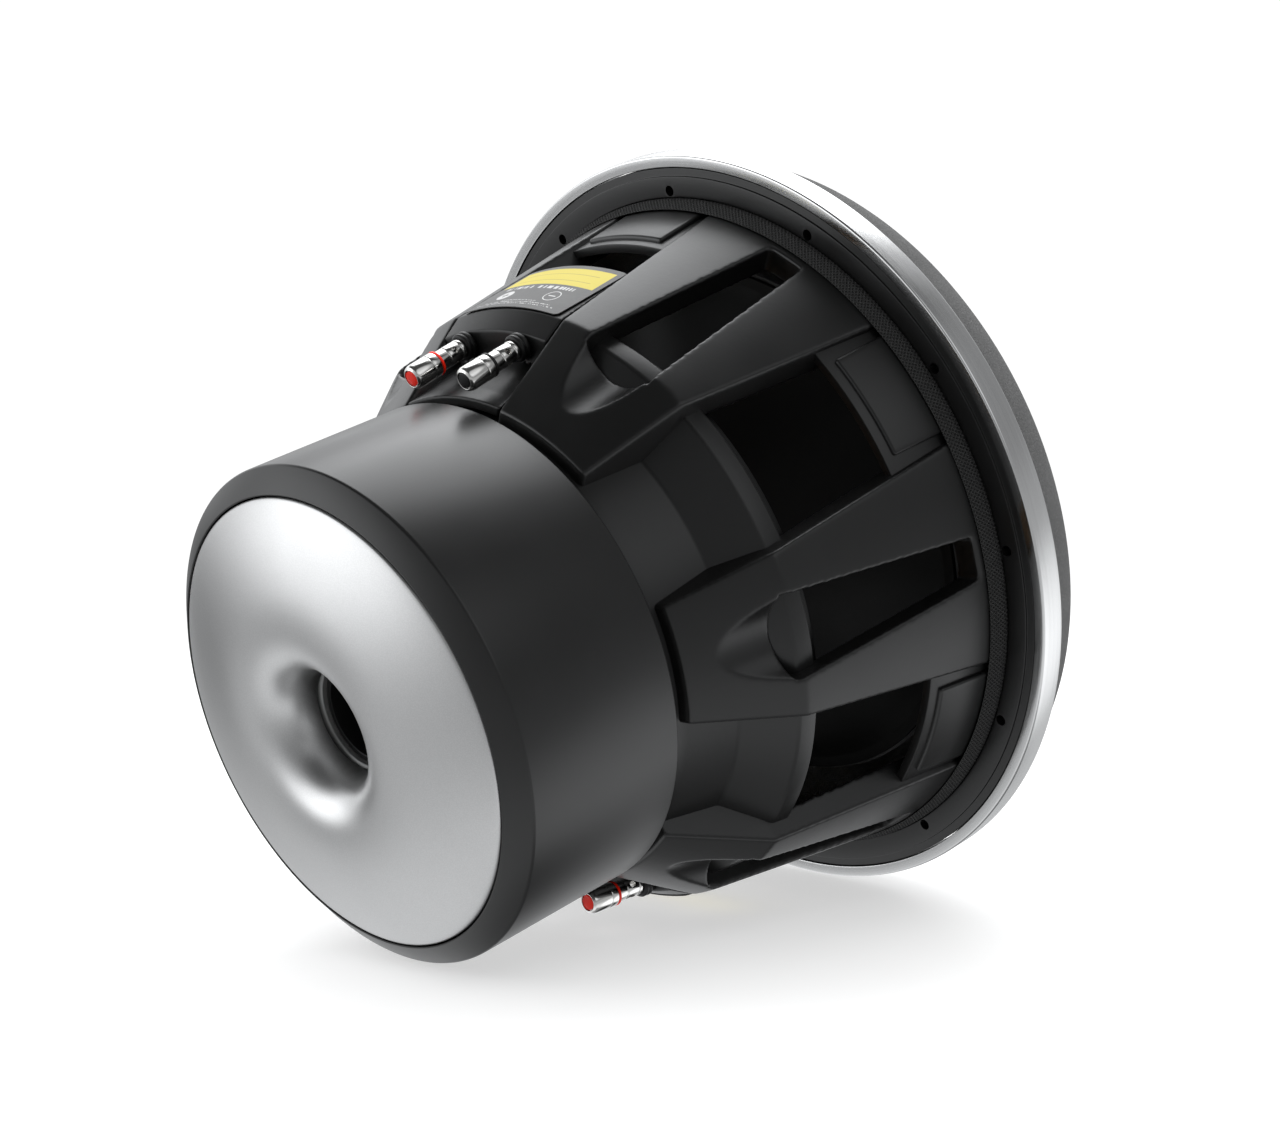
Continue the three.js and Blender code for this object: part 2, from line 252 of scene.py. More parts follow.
def wovenLook():  # a diagonal weave of cords that wraps the band
    weave = {"pitch": 0.0021, "deep": 0.0005, "radius": 0.1665, "slant": 0.72}
    look = Look("wovenBlack", Specular_IOR_Level=0.4)
    radius, clock, along = look.polar()
    turn = clock * (weave["radius"] / weave["pitch"] * 2 * math.pi)
    climb = (along - radius) * (weave["slant"] / weave["pitch"] * 2 * math.pi)
    over = (turn + climb).math("SINE")
    under = (turn - climb).math("SINE")
    cords = over.math("MAXIMUM", under)
    fuzz = look.noise(look.place(), 3000, 2)
    return look.link(
        Base_Color=look.mix(cords * 0.5 + 0.5, grey(0.002), grey(0.022)),
        Roughness=0.62 + fuzz * 0.25,
        Normal=look.bump(cords + fuzz * 0.3, weave["deep"], 0.9),
    )


def mouldedLook(name="mouldedBlack", dark=0.0025, light=0.005, rough=0.36):
    look = Look(name, Specular_IOR_Level=0.33)
    place = look.place()
    grain = look.noise(place, 1200, 3)
    cloud = look.noise(place, 60, 3)
    return look.link(
        Base_Color=look.mix(cloud, grey(dark), grey(light)),
        Roughness=rough + (grain - 0.5) * 0.14 + (cloud - 0.5) * 0.1,
        Normal=look.bump(grain, 0.00004, 0.5),
    )


def nickelLook():
    look = Look("nickel", Metallic=1.0)
    place = look.place()
    haze = look.noise(place, 260, 3)
    scratch = look.noise(look.scaled(place, (1400, 180, 1400)), 1.0, 2)
    return look.link(
        Base_Color=look.mix(haze, (0.78, 0.77, 0.75, 1), (0.86, 0.85, 0.83, 1)),
        Roughness=0.07 + haze * 0.07 + scratch * 0.04,
        Normal=look.bump(scratch, 0.00001, 0.3),
    )


def enamelLook(name, dark, light):
    look = Look(name, Specular_IOR_Level=0.25, Coat_Weight=0.1, Coat_Roughness=0.12)
    haze = look.noise(look.place(), 500, 3)
    return look.link(
        Base_Color=look.mix(haze, dark, light),
        Roughness=0.34 + haze * 0.12,
        Normal=look.bump(haze, 0.00002, 0.3),
    )


def filmLook():  # amber film of the coil former
    look = Look("polyimide", Coat_Weight=0.3)
    radius, clock, along = look.polar()
    wrap = (along * 900 + clock * 3).math("SINE")
    cloud = look.noise(look.place(), 70, 3)
    return look.link(
        Base_Color=look.mix(cloud, (0.22, 0.07, 0.012, 1), (0.42, 0.17, 0.03, 1)),
        Roughness=0.3 + cloud * 0.12,
        Normal=look.bump(wrap, 0.00003, 0.3),
    )


def windingLook():  # copper wire, turn beside turn
    wire = {"pitch": 0.0012}
    look = Look("copper", Metallic=0.9)
    radius, clock, along = look.polar()
    turns = (along * (2 * math.pi / wire["pitch"])).math("SINE")
    cloud = look.noise(look.place(), 90, 3)
    return look.link(
        Base_Color=look.mix(cloud, (0.42, 0.13, 0.05, 1), (0.68, 0.27, 0.12, 1)),
        Roughness=0.3 + cloud * 0.15,
        Normal=look.bump(turns, 0.0003, 0.8),
    )


def clothLook():  # resin-stiffened cloth of the spider
    thread = {"pitch": 0.0011}
    look = Look("spiderCloth", Specular_IOR_Level=0.2, Sheen_Weight=0.2)
    x, y, z = look.parts(look.place())
    waves = 2 * math.pi / thread["pitch"]
    warp = (x * waves).math("SINE")
    weft = (z * waves).math("SINE")
    weave = warp * weft
    fuzz = look.noise(look.place(), 900, 3)
    return look.link(
        Base_Color=look.mix(weave * 0.3 + fuzz * 0.6, (0.16, 0.085, 0.03, 1), (0.42, 0.26, 0.11, 1)),
        Roughness=0.78 + fuzz * 0.15,
        Normal=look.bump(weave + fuzz * 0.4, 0.0003, 0.8),
    )


def steelLook():
    look = Look("steel", Metallic=0.85)
    place = look.place()
    cloud = look.noise(place, 45, 4)
    grain = look.noise(place, 900, 2)
    return look.link(
        Base_Color=look.mix(cloud, (0.16, 0.165, 0.17, 1), (0.34, 0.34, 0.33, 1)),
        Roughness=0.36 + cloud * 0.2,
        Normal=look.bump(grain, 0.00005, 0.4),
    )


def ferriteLook():
    look = Look("ferrite", Specular_IOR_Level=0.4)
    place = look.place()
    grit = look.noise(place, 1500, 4)
    cloud = look.noise(place, 40, 3)
    return look.link(
        Base_Color=look.mix(grit * 0.6 + cloud * 0.4, grey(0.012), grey(0.05)),
        Roughness=0.6 + grit * 0.25,
        Normal=look.bump(grit, 0.0002, 0.6),
    )


def tinselLook():  # braid, in bands across the lead
    look = Look("tinsel", Metallic=0.6)
    x, y, z = look.parts(look.place())
    braid = ((y + z) * 5200).math("SINE") * ((x + y - z) * 5200).math("SINE")
    fuzz = look.noise(look.place(), 1500, 2)
    return look.link(
        Base_Color=look.mix(braid * 0.5 + 0.5, (0.16, 0.09, 0.04, 1), (0.62, 0.46, 0.28, 1)),
        Roughness=0.42 + fuzz * 0.2,
        Normal=look.bump(braid + fuzz * 0.2, 0.0003, 0.8),
    )


def labelLook():  # grey foil with a yellow block, two polarity signs and rows of plain marks
    art = {
        "blockFrom": 0.0705, "blockTo": 0.0875, "blockHalf": 0.0312, "stripeHalf": 0.0255,
        "signs": 0.0990, "signOffset": 0.0165, "disc": 0.0046, "rim": 0.0041,
        "stroke": 0.0004, "strokeHalf": 0.0022, "soft": 0.00008,
    }
    bars = (  # start, height, half width and marks per metre
        (0.0895, 0.0027, 0.024, 520), (0.1050, 0.0006, 0.012, 1500),
        (0.1068, 0.0006, 0.023, 1400), (0.1086, 0.0006, 0.027, 1300),
    )
    look = Look("labelFoil", Specular_IOR_Level=0.3, Coat_Weight=0.08, Coat_Roughness=0.3)
    x, y, z = look.parts(look.place())
    across = x * z.math("SIGN")  # both labels read the same way round the axis
    wide = across.math("ABSOLUTE")
    soft = art["soft"]
    block = y.inside(art["blockFrom"], art["blockTo"], soft) * wide.inside(-1, art["blockHalf"], soft)
    marks = 0
    for start, tall, half, pitch in bars:
        letters = look.noise(look.vector(across * pitch, start * 9000, 0), 1.0, 1).step(0.47, 0.53)
        marks = y.inside(start, start + tall, soft) * wide.inside(-1, half, soft) * letters + marks
    stroke, strokeHalf, disc = art["stroke"], art["strokeHalf"], art["disc"]
    for centre, crossed in ((art["signOffset"], True), (-art["signOffset"], False)):
        u = across - centre
        v = y - art["signs"]
        far = (u * u + v * v).math("SQRT")
        sign = v.inside(-stroke, stroke, soft) * u.inside(-strokeHalf, strokeHalf, soft)
        if crossed:
            upright = u.inside(-stroke, stroke, soft) * v.inside(-strokeHalf, strokeHalf, soft)
            marks = far.inside(-1, disc, soft) * (1 - sign.math("MAXIMUM", upright)) + marks
        else:
            marks = far.inside(art["rim"], disc, soft) + sign + marks
    stripes = y.inside(0.0760, 0.0764, soft) + y.inside(0.0826, 0.0830, soft)
    grain = look.noise(look.place(), 1400, 2)
    cloud = look.noise(look.place(), 90, 3)
    foil = look.mix(cloud, grey(0.06), grey(0.09))
    striped = stripes * wide.inside(-1, art["stripeHalf"], soft)
    yellow = look.mix(striped, (0.52, 0.43, 0.035, 1), (0.28, 0.22, 0.03, 1))
    inked = look.mix(marks.math("MINIMUM", 1.0), foil, grey(0.5))
    return look.link(
        Base_Color=look.mix(block, inked, yellow),
        Roughness=0.45 + grain * 0.12,
        Normal=look.bump(grain, 0.00003, 0.4),
    )


castBlack = castBlackLook()
machinedSilver = brushedLook("machinedSilver", tone=0.72, roughness=0.22, lines=9000, distance=0.00003)
satinSilver = satinSilverLook()
bootBlack = bootLook()
foamGrey = foamLook()
wovenBlack = wovenLook()
mouldedBlack = mouldedLook()
coneBlack = mouldedLook("coneBlack", dark=0.0025, light=0.004, rough=0.6)
nickel = nickelLook()
signalRed = enamelLook("signalRed", (0.86, 0.011, 0.002, 1), (1.0, 0.026, 0.006, 1))
signalBlack = enamelLook("signalBlack", grey(0.005), grey(0.01))
polyimide = filmLook()
copper = windingLook()
spiderCloth = clothLook()
steel = steelLook()
ferrite = ferriteLook()
tinsel = tinselLook()
labelFoil = labelLook()
print("finishes ready")


def meshFrom(bm, name):
    data = bpy.data.meshes.new(name)
    bm.to_mesh(data)
    bm.free()
    return data


def cleanMesh(bm, name):
    bmesh.ops.remove_doubles(bm, verts=bm.verts, dist=1e-7)
    bmesh.ops.recalc_face_normals(bm, faces=bm.faces)
    return meshFrom(bm, name)


def pieceFrom(bm, name, look, body="frame", nodes=(), smooth=32):
    return pieceOf(cleanMesh(bm, name), name, look, body, nodes, smooth)


def pieceOf(data, name, look, body="frame", nodes=(), smooth=32):
    data.shade_smooth()
    data.set_sharp_from_angle(angle=math.radians(smooth))
    data.materials.clear()
    data.materials.append(look.material)
    piece = bpy.data.objects.new(name, data)
    bpy.context.scene.collection.objects.link(piece)
    if body:
        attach(piece, body)
    if nodes:
        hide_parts(*nodes)
    return piece


def wireProfile(bm, profile, closed=True):  # profile points are (radius, along) in millimetres
    verts = [bm.verts.new((0, y * mm, r * mm)) for r, y in profile]
    ends = verts[1:] + verts[:1] if closed else verts[1:]
    edges = [bm.edges.new(pair) for pair in zip(verts, ends)]
    return verts + edges


def spinRound(bm, geom, steps, about):
    bmesh.ops.spin(
        bm, geom=geom, cent=(0, 0, 0), axis=about, dvec=(0, 0, 0),
        angle=2 * math.pi, steps=steps, use_merge=True, use_duplicate=False,
    )
    bmesh.ops.remove_doubles(bm, verts=bm.verts, dist=1e-6)
    bmesh.ops.recalc_face_normals(bm, faces=bm.faces)


def spunMesh(profile, steps=192, closed=True, soften=0.0, segments=2, corner=20):
    bm = bmesh.new()
    spinRound(bm, wireProfile(bm, profile, closed), steps, axis)
    if soften:
        softenEdges(bm, soften, segments, corner)
    return bm


def softenEdges(bm, width, segments=2, corner=20):
    limit = math.radians(corner)
    sharp = [e for e in bm.edges if len(e.link_faces) == 2 and e.calc_face_angle(0) > limit]
    bmesh.ops.bevel(
        bm, geom=sharp, offset=width * mm, offset_type="OFFSET", segments=segments,
        profile=0.5, affect="EDGES", clamp_overlap=True, material=-1,
    )


def profileOf(node):  # the closed outline of a turned CAD node, read off at clock 0, in millimetres
    bm = bmesh.new()
    bm.from_mesh(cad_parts[node].data)
    bmesh.ops.remove_doubles(bm, verts=bm.verts, dist=1e-6)
    near = 2e-6
    cut = [e for e in bm.edges if all(abs(v.co.x) < near and v.co.z > 0 for v in e.verts)]
    links = {}
    for e in cut:
        a, b = e.verts
        links.setdefault(a, []).append(b)
        links.setdefault(b, []).append(a)
    start = next(iter(links))
    path, last = [start], None
    while True:
        onwards = [v for v in links[path[-1]] if v is not last]
        last = path[-1]
        if onwards[0] is start or (len(path) > 2 and start in onwards):
            break
        path.append(onwards[0])
    outline = [(v.co.z / mm, v.co.y / mm) for v in path]
    bm.free()
    return outline


def turnedPiece(name, node, look, body="frame", soften=0.5, steps=192, segments=2):
    bm = spunMesh(profileOf(node), steps, True, soften, segments)
    return pieceFrom(bm, name, look, body, [node])


def evaluated(piece):  # the mesh with its modifiers applied
    graph = bpy.context.evaluated_depsgraph_get()
    return bpy.data.meshes.new_from_object(piece.evaluated_get(graph))


def loose(bm, name):  # a tool object that is only used for joining and cutting
    made = bpy.data.objects.new(name, cleanMesh(bm, name))
    bpy.context.scene.collection.objects.link(made)
    return made


def cutWith(piece, tools, operation):
    for tool in tools:
        boolean = piece.modifiers.new("cut", "BOOLEAN")
        boolean.operation = operation
        boolean.solver = "MANIFOLD"
        boolean.object = tool
    data = evaluated(piece)
    piece.modifiers.clear()
    piece.data = data
    for tool in tools:
        bpy.data.objects.remove(tool)
    return piece


def cast(piece, voxel, rounds, keep):  # soft cast edges: remesh, smooth and thin out the flat parts
    remesh = piece.modifiers.new("skin", "REMESH")
    remesh.mode = "VOXEL"
    remesh.voxel_size = voxel * mm
    relax = piece.modifiers.new("relax", "SMOOTH")
    relax.factor = 0.5
    relax.iterations = rounds
    thin = piece.modifiers.new("thin", "DECIMATE")
    thin.ratio = keep
    data = evaluated(piece)
    bpy.data.objects.remove(piece)
    return data


def drillBit(radius, depth, sides=32):  # a rod along the driver's axis, in metres
    bm = bmesh.new()
    bmesh.ops.create_cone(bm, cap_ends=True, segments=sides, radius1=radius, radius2=radius, depth=depth)
    bmesh.ops.rotate(bm, verts=bm.verts, cent=(0, 0, 0), matrix=Matrix.Rotation(math.pi / 2, 3, "X"))
    return bm


def clockTurn(clock):
    return Matrix.Rotation(math.radians(clock), 4, "Y")


def sector(section, halfAngle, steps, clock=0):  # a solid slice of a turned section
    bm = bmesh.new()
    verts = [bm.verts.new((0, y * mm, r * mm)) for r, y in section]
    face = bm.faces.new(verts)
    turnBack = Matrix.Rotation(math.radians(clock - halfAngle), 3, "Y")
    bmesh.ops.rotate(bm, verts=bm.verts, cent=(0, 0, 0), matrix=turnBack)
    bmesh.ops.spin(
        bm, geom=[face, *face.edges, *face.verts], cent=(0, 0, 0), axis=axis, dvec=(0, 0, 0),
        angle=math.radians(2 * halfAngle), steps=steps, use_merge=False, use_duplicate=False,
    )
    bmesh.ops.remove_doubles(bm, verts=bm.verts, dist=1e-7)
    bmesh.ops.holes_fill(bm, edges=[e for e in bm.edges if e.is_boundary])
    bmesh.ops.recalc_face_normals(bm, faces=bm.faces)
    return bm


def block(outline, low, high, clock=0):  # (across, along) points, raised from one radius to another
    bm = bmesh.new()
    face = bm.faces.new([bm.verts.new((x * mm, y * mm, low * mm)) for x, y in outline])
    raised = bmesh.ops.extrude_face_region(bm, geom=[face])["geom"]
    moved = [v for v in raised if isinstance(v, bmesh.types.BMVert)]
    bmesh.ops.translate(bm, verts=moved, vec=(0, 0, (high - low) * mm))
    bmesh.ops.rotate(bm, verts=bm.verts, cent=(0, 0, 0), matrix=clockTurn(clock).to_3x3())
    return bm


def mirrored(widths):
    return [*widths, *[(-x, y) for x, y in reversed(widths)]]


def around(data, clocksList):  # one mesh with a copy at each clock angle
    bm = bmesh.new()
    for clock in clocksList:
        copied = data.copy()
        copied.transform(clockTurn(clock))
        bm.from_mesh(copied)
        bpy.data.meshes.remove(copied)
    return bm


def radialBlend(piece, outer, inner):  # meant to be held by the frame outside one radius and by the cone inside another; it only bakes the placement into the mesh and works out each vertex's share between the two radii, which is then dropped
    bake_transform(piece)
    for vert in piece.data.vertices:
        share = (outer - math.hypot(vert.co.x, vert.co.z) / mm) / (outer - inner)
        share = min(1, max(0, share))


armClocks = [30 + 60 * i for i in range(6)]
gapClocks = [60 * i for i in range(6)]
basketShape = {
    "armEdge": [(27.5, 157.5), (38.3, 113.5), (53, 9), (53, -1)],
    "armSlot": [(19.6, 117), (19.4, 113.5), (10, 12)],
    "armSection": [
        (118.3, 157.5), (147.5, 113.5), (164.2, 9), (164.2, -1),
        (151, -1), (151, 9), (137.5, 101), (123, 107), (105, 150), (105, 157.5),
    ],
    "bowlSection": [
        (111, 160), (113, 153), (120.2, 128.4), (140.3, 110.5), (142, 101), (124, 101),
        (123, 107), (105, 134), (98, 157), (62, 157), (62, 162.9), (111, 162.9),
    ],
    "flangeSection": [
        (178.5, 0), (168.3, 0), (168.3, -0.6), (161.6, -0.6), (161.6, 9), (156.6, 40), (152.4, 40),
        (153.5, 8), (153.5, -8), (182.4, -8), (182.4, -1.2), (178.5, -1.2),
    ],
    "panelSection": [(163.8, -1), (163.8, 9), (159.4, 35), (155, 35), (155, -1)],
    "panelHalfAngle": 9.2,
    "scoopTip": (126.5, 146.2),
    "scoopRadius": 22,
    "scoopTilt": 13.6,
    "scoopEndAlong": 104,
    "holeCircle": 171.5,
    "holeRadius": 2.7,
}


castFine = {"voxel": 0.8, "rounds": 14, "keep": 0.2}


def makeScoop():  # a leaning cylinder whose lowest line starts at the scoop's tip and sinks into the arm
    tipRadius, tipAlong = basketShape["scoopTip"]
    tilt = math.radians(basketShape["scoopTilt"])
    aim = Vector((0, -math.cos(tilt), math.sin(tilt)))
    outwards = Vector((0, aim.z, -aim.y))
    radius, long = basketShape["scoopRadius"] * mm, 0.16
    bm = bmesh.new()
    bmesh.ops.create_cone(bm, cap_ends=True, segments=96, radius1=radius, radius2=radius, depth=long)
    turn = Vector((0, 0, 1)).rotation_difference(aim).to_matrix()
    bmesh.ops.rotate(bm, verts=bm.verts, cent=(0, 0, 0), matrix=turn)
    bmesh.ops.translate(bm, verts=bm.verts, vec=Vector((0, tipAlong, tipRadius)) * mm + outwards * radius)
    cut = bmesh.ops.bisect_plane(
        bm, geom=[*bm.verts, *bm.edges, *bm.faces], dist=1e-7,
        plane_co=(0, basketShape["scoopEndAlong"] * mm, 0), plane_no=(0, -1, 0), clear_outer=True,
    )["geom_cut"]
    bmesh.ops.edgeloop_fill(bm, edges=[e for e in cut if isinstance(e, bmesh.types.BMEdge)])
    return bm


def makeArms():
    arm = loose(sector(basketShape["armSection"], 26, 40), "arm")
    cutWith(arm, [loose(block(mirrored(basketShape["armEdge"]), 80, 176), "armEdge")], "INTERSECT")
    slot = loose(block(mirrored(basketShape["armSlot"]), 120, 200), "armSlot")
    cutWith(arm, [slot, loose(makeScoop(), "scoop")], "DIFFERENCE")
    grade = castFine
    data = cast(arm, grade["voxel"], grade["rounds"], grade["keep"])
    pieceFrom(around(data, armClocks), "basketArms", castBlack, "frame", ["basket"], 180)


def makeBasketBody():
    body = loose(spunMesh(basketShape["flangeSection"], 288, True, 0.9, 4), "basketFlange")
    drills = bmesh.new()
    for i in range(12):
        drill = drillBit(basketShape["holeRadius"] * mm, 0.03)
        bmesh.ops.translate(drill, verts=drill.verts, vec=(0, 0, basketShape["holeCircle"] * mm))
        bmesh.ops.rotate(drill, verts=drill.verts, cent=(0, 0, 0), matrix=clockTurn(30 * i).to_3x3())
        part = meshFrom(drill, "drill")
        drills.from_mesh(part)
        bpy.data.meshes.remove(part)
    outline = mirrored(basketShape["armSlot"])
    slots = [loose(block(outline, 150, 200, clock), "slot") for clock in armClocks]
    cutWith(body, [loose(drills, "drills"), *slots], "DIFFERENCE")
    data = body.data
    bpy.data.objects.remove(body)
    pieceOf(data, "basketFlange", castBlack, "frame", ["basket"], 32)
    bowl = spunMesh(basketShape["bowlSection"], 240, True, 1.3, 4)
    pieceFrom(bowl, "basketBowl", castBlack, "frame", ["basket"])


def makeSkirtPanels():
    panel = sector(basketShape["panelSection"], basketShape["panelHalfAngle"], 16)
    softenEdges(panel, 1.3, 4)
    data = meshFrom(panel, "panel")
    pieceFrom(around(data, gapClocks), "basketPanels", castBlack, "frame", ["basket"])


makeArms()
makeBasketBody()
makeSkirtPanels()
print("basket made")


turnedPiece("trimRing", "trim_ring", machinedSilver, soften=0.5, steps=288, segments=3)
turnedPiece("gasketBand", "gasket_band", wovenBlack, soften=0.5, steps=288)


def makeSurround():
    roll = {"centre": 155, "half": 25.6, "shoulder": -20, "front": -48.2, "wall": 3, "steps": 26}
    left, right = roll["centre"] - roll["half"], roll["centre"] + roll["half"]

    def arc(inset):
        points = []
        for i in range(roll["steps"] + 1):
            a = math.pi * i / roll["steps"]
            r = roll["centre"] + (roll["half"] - inset) * math.cos(a)
            points.append((r, roll["shoulder"] + (roll["front"] - roll["shoulder"] + inset) * math.sin(a)))
        return points

    outline = [
        (right, -8.4), *arc(0), (left, -11.6), (126.2, -11.6), (126.2, -9.3), (132.4, -9.3),
        *reversed(arc(roll["wall"])), (right - roll["wall"], -10.6), (168, -10.6), (168, -8.4),
    ]
    bm = spunMesh(outline, 240, True, 0.5, 2, 50)
    piece = pieceFrom(bm, "foamSurround", foamGrey, None, (), 50)
    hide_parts("surround")
    radialBlend(piece, 178, 132)


makeSurround()
print("surround made")


turnedPiece("motorBoot", "motor_boot", bootBlack, soften=1.0, steps=240, segments=4)


def makeRearCap():
    cap = {"rim": (106.2, 258.9), "crest": (48, 274.4), "mouth": 24.5, "depth": 249.8, "wall": 2.4}
    face = [
        cap["rim"], (103, 260.9), (88, 267.0), (67, 272.5), (54, 274.2), (44, 274.1), (36.5, 271.7),
        (31, 267.6), (27.4, 262), (25.4, 256), (cap["mouth"], cap["depth"]),
    ]
    inner = [
        (27, 250.2), (28, 256.5), (31, 263.4), (36, 268.6), (46, 271.6), (58, 271.6), (72, 268.9),
        (90, 263.6), (103.6, 258.2), (104, 250.4), (106.2, 250.4),
    ]
    bm = spunMesh([*face, *inner], 96, True)
    crease = bm.edges.layers.float.new("crease_edge")
    for edge in bm.edges:
        if len(edge.link_faces) == 2 and edge.calc_face_angle(0) > math.radians(48):
            edge[crease] = 0.75
    piece = pieceFrom(bm, "rearCap", satinSilver, "frame", ["rear_cap"], 60)
    subdivide = piece.modifiers.new("subdivide", "SUBSURF")
    subdivide.levels = subdivide.render_levels = 2


makeRearCap()
for turnedName, turnedNode, turnedLook in (
    ("topPlate", "top_plate", steel), ("magnetFront", "magnet_1", ferrite),
    ("magnetMiddle", "magnet_2", ferrite), ("magnetRear", "magnet_3", ferrite),
    ("poleYoke", "pole_yoke", steel), ("poleSleeve", "pole_sleeve", copper),
    ("ventTube", "vent_tube", mouldedBlack), ("spiderRing", "spider_ring", mouldedBlack),
):
    turnedPiece(turnedName, turnedNode, turnedLook, soften=0.4, steps=128)
print("motor made")


turnedPiece("coneBody", "cone", coneBlack, "cone_assembly", soften=0.4, steps=192)
turnedPiece("coilFormer", "former", polyimide, "cone_assembly", soften=0.2, steps=128)
turnedPiece("coilInner", "voice_coil_inner", copper, "cone_assembly", soften=0.3, steps=128)
turnedPiece("coilOuter", "voice_coil_outer", copper, "cone_assembly", soften=0.3, steps=128)


def makeDish():
    dish = {"edge": 125.6, "rim": -11.4, "depth": 27, "wall": 1.6, "steps": 24}

    def height(r):
        return dish["rim"] + dish["depth"] * (1 - (r / dish["edge"]) ** 2)

    radii = [dish["edge"] * i / dish["steps"] for i in range(dish["steps"] + 1)]
    face = [(r, height(r)) for r in radii]
    back = [(r, height(r) + dish["wall"]) for r in reversed(radii[:-1])]
    corner = (dish["edge"], height(dish["edge"]) + dish["wall"])
    bm = spunMesh([*face, corner, *back], 192, False, 0.3, 2, 40)
    pieceFrom(bm, "coneDish", coneBlack, "cone_assembly", ["cone_dish"], 40)


def makeSpider():
    spider = {
        "inner": 39.2, "first": 46, "last": 126, "outer": 134.4, "rolls": 9, "swing": 2.1, "wall": 0.7,
        "innerAlong": 98.6, "outerAlong": 99.8,
    }
    middle, outerAlong = spider["innerAlong"], spider["outerAlong"]
    steps = 12 * spider["rolls"]

    def height(r):
        if r <= spider["first"]:
            return middle
        share = min(1, (r - spider["first"]) / (spider["last"] - spider["first"]))
        fade = min(1, 6 * (1 - share), 6 * share)
        wave = math.sin(2 * math.pi * spider["rolls"] * share) * spider["swing"] * fade
        return middle + (outerAlong - middle) * share + wave

    radii = [spider["inner"], 42.5]
    span = spider["last"] - spider["first"]
    radii += [spider["first"] + span * i / steps for i in range(steps + 1)]
    radii += [130, spider["outer"]]
    face = [(r, height(r) - spider["wall"] / 2) for r in radii]
    back = [(r, height(r) + spider["wall"] / 2) for r in reversed(radii)]
    bm = spunMesh([*face, *back], 144, True)
    piece = pieceFrom(bm, "spiderCloth", spiderCloth, None, (), 50)
    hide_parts("spider")
    radialBlend(piece, 126, 44)


def makeLead(side, clock, node, name):
    lead = {"radius": 1.4}
    route = [
        (8, 90, 40.6), (10, 85, 52), (13, 84, 70), (16, 86, 92),
        (18, 89, 112), (19, 90, 128), (19, 90, 141.6),
    ]
    curve = bpy.data.curves.new("lead", "CURVE")
    curve.dimensions = "3D"
    curve.bevel_depth = lead["radius"] * mm
    curve.bevel_resolution = 3
    curve.use_fill_caps = True
    curve.resolution_u = 8
    spline = curve.splines.new("BEZIER")
    spline.bezier_points.add(len(route) - 1)
    for point, (x, y, z) in zip(spline.bezier_points, route):
        point.co = Vector((side * x, y, z)) * mm
        point.handle_left_type = point.handle_right_type = "AUTO"
    path = bpy.data.objects.new("lead", curve)
    bpy.context.scene.collection.objects.link(path)
    data = evaluated(path)
    bpy.data.objects.remove(path)
    data.transform(clockTurn(clock))
    piece = pieceOf(data, "lead" + name, tinsel, None, (), 60)
    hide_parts("lead_" + node)
    radialBlend(piece, 128, 46)


makeDish()
makeSpider()
print("moving parts made")


terminal = {
    "offset": 19, "base": (133.5, 124.8), "end": (128.1, 161.2),
    "panelSection": [
        (153.4, 66), (147, 113.4), (140.2, 124.5), (126.5, 124.5), (120.5, 147), (119, 156.5),
        (114.2, 156.5), (114.2, 153.4), (121.4, 129), (141.4, 111.4), (143.2, 100), (149.6, 66),
    ],
    "panelHalfAngle": 17, "wellRadius": 7.4, "wellDepth": 30,
    "bodyRadius": 4.9, "capRadius": 5.9, "bushingRadius": 6.6, "bushingLength": 5, "ringWidth": 1.6,
    "crossHole": 1.7, "crossHoleAlong": 11.3, "crossHoleTurns": (30, 120),
}
postLength = math.dist(terminal["base"], terminal["end"])
capStart = postLength - 16.5


def postFrame(side, clock):  # from a post's own frame, Z along it, to the driver's
    base = Vector((side * terminal["offset"], terminal["base"][1], terminal["base"][0])) * mm
    end = Vector((side * terminal["offset"], terminal["end"][1], terminal["end"][0])) * mm
    turn = Vector((0, 0, 1)).rotation_difference((end - base).normalized()).to_matrix().to_4x4()
    return clockTurn(clock) @ Matrix.Translation(base) @ turn


def turnedOnPost(outline, closed=False, steps=48, soften=0.3, segments=3):
    bm = bmesh.new()
    verts = [bm.verts.new((r * mm, 0, y * mm)) for r, y in outline]
    ends = verts[1:] + verts[:1] if closed else verts[1:]
    edges = [bm.edges.new(pair) for pair in zip(verts, ends)]
    spinRound(bm, verts + edges, steps, (0, 0, 1))
    softenEdges(bm, soften, segments, 25)
    return bm


def makePanel(clock, tag, name):
    panel = loose(sector(terminal["panelSection"], terminal["panelHalfAngle"], 34), "panel")
    edge = mirrored([(x + 0.5, y) for x, y in basketShape["armEdge"]])
    walls = [loose(block(edge, 80, 176, side * 30), "wall") for side in (-1, 1)]
    radius, depth = terminal["wellRadius"], terminal["wellDepth"]
    wells = []
    for side in (-1, 1):
        well = turnedOnPost([(0, 0), (radius, 0), (radius, depth), (0, depth)], False, 48, 0.01, 1)
        bmesh.ops.transform(well, matrix=postFrame(side, 0), verts=well.verts)
        wells.append(loose(well, "well"))
    cutWith(panel, [*walls, *wells], "DIFFERENCE")
    data = cast(panel, 0.6, 5, 0.35)
    data.transform(clockTurn(clock))
    pieceOf(data, "terminalPanel" + name, mouldedBlack, "frame", ["terminal_panel_" + tag], 180)


